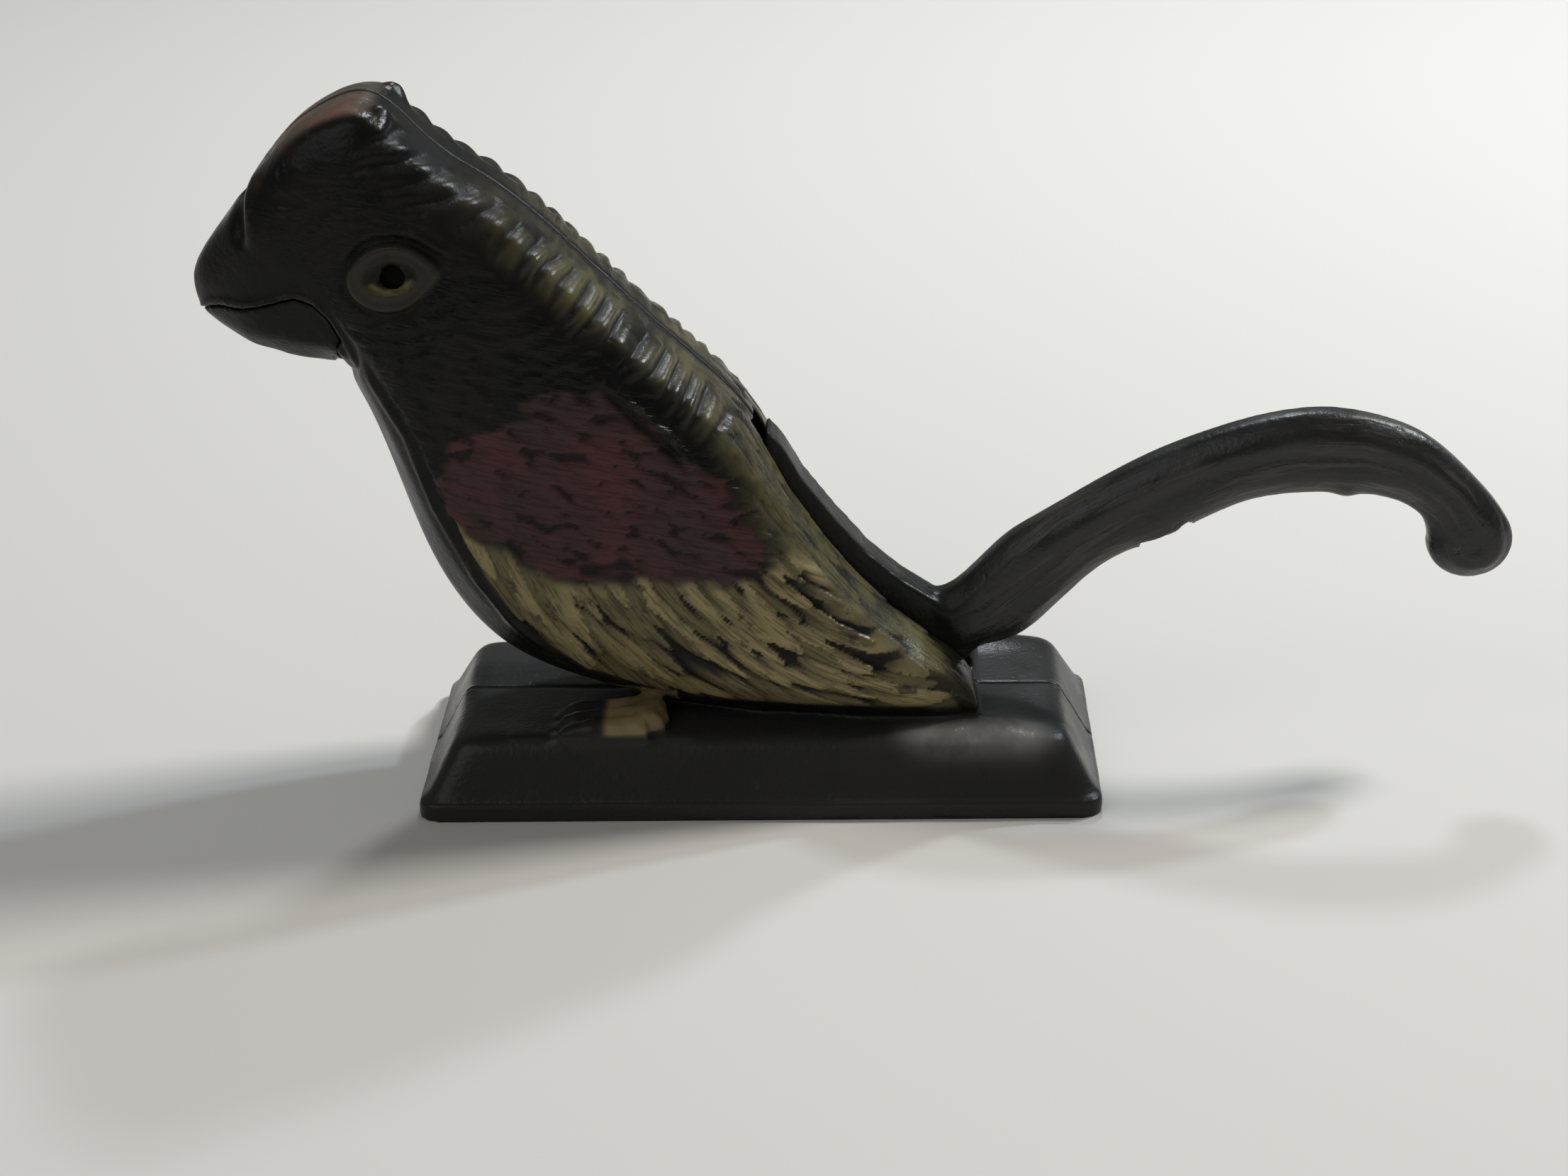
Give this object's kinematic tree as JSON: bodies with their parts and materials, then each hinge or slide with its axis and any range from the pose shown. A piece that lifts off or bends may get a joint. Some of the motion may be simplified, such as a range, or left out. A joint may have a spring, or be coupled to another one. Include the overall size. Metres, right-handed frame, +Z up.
{
  "type": "lever nutcracker press",
  "caption": "Bird-shaped cast lever nutcracker: the tail is the handle, its lower beak swings open on a pin in the neck, and it stands on a sloped rectangular base.",
  "frame": {"origin": "middle of the base's bottom face, on the plane where the two castings meet", "axes": "+X towards the tail handle, +Y to the far casting, +Z up"},
  "size_m": [0.2537, 0.0616, 0.138],
  "materials": {
    "painted_casting": "aged dark paint, semi-gloss, with worn gold, maroon and olive plumage",
    "lever_casting": "aged dark grey-brown paint, semi-gloss",
    "pin_steel": "darkened, painted over at the ends"
  },
  "bodies": {
    "stand": {"near_casting": "painted_casting", "far_casting": "painted_casting", "pivot_pin": "pin_steel", "eye_rivet": "pin_steel", "shoulder_rivet": "pin_steel", "breast_rivet": "pin_steel"},
    "lever": {"tail_lever_with_jaw": "lever_casting"}
  },
  "joints": [
    {"name": "jaw_pivot", "type": "hinge", "parent": "stand", "child": "lever", "pos_m": [-0.061, 0, 0.084], "axis": [0, -1, 0], "range_deg": [0, 34]}
  ]
}
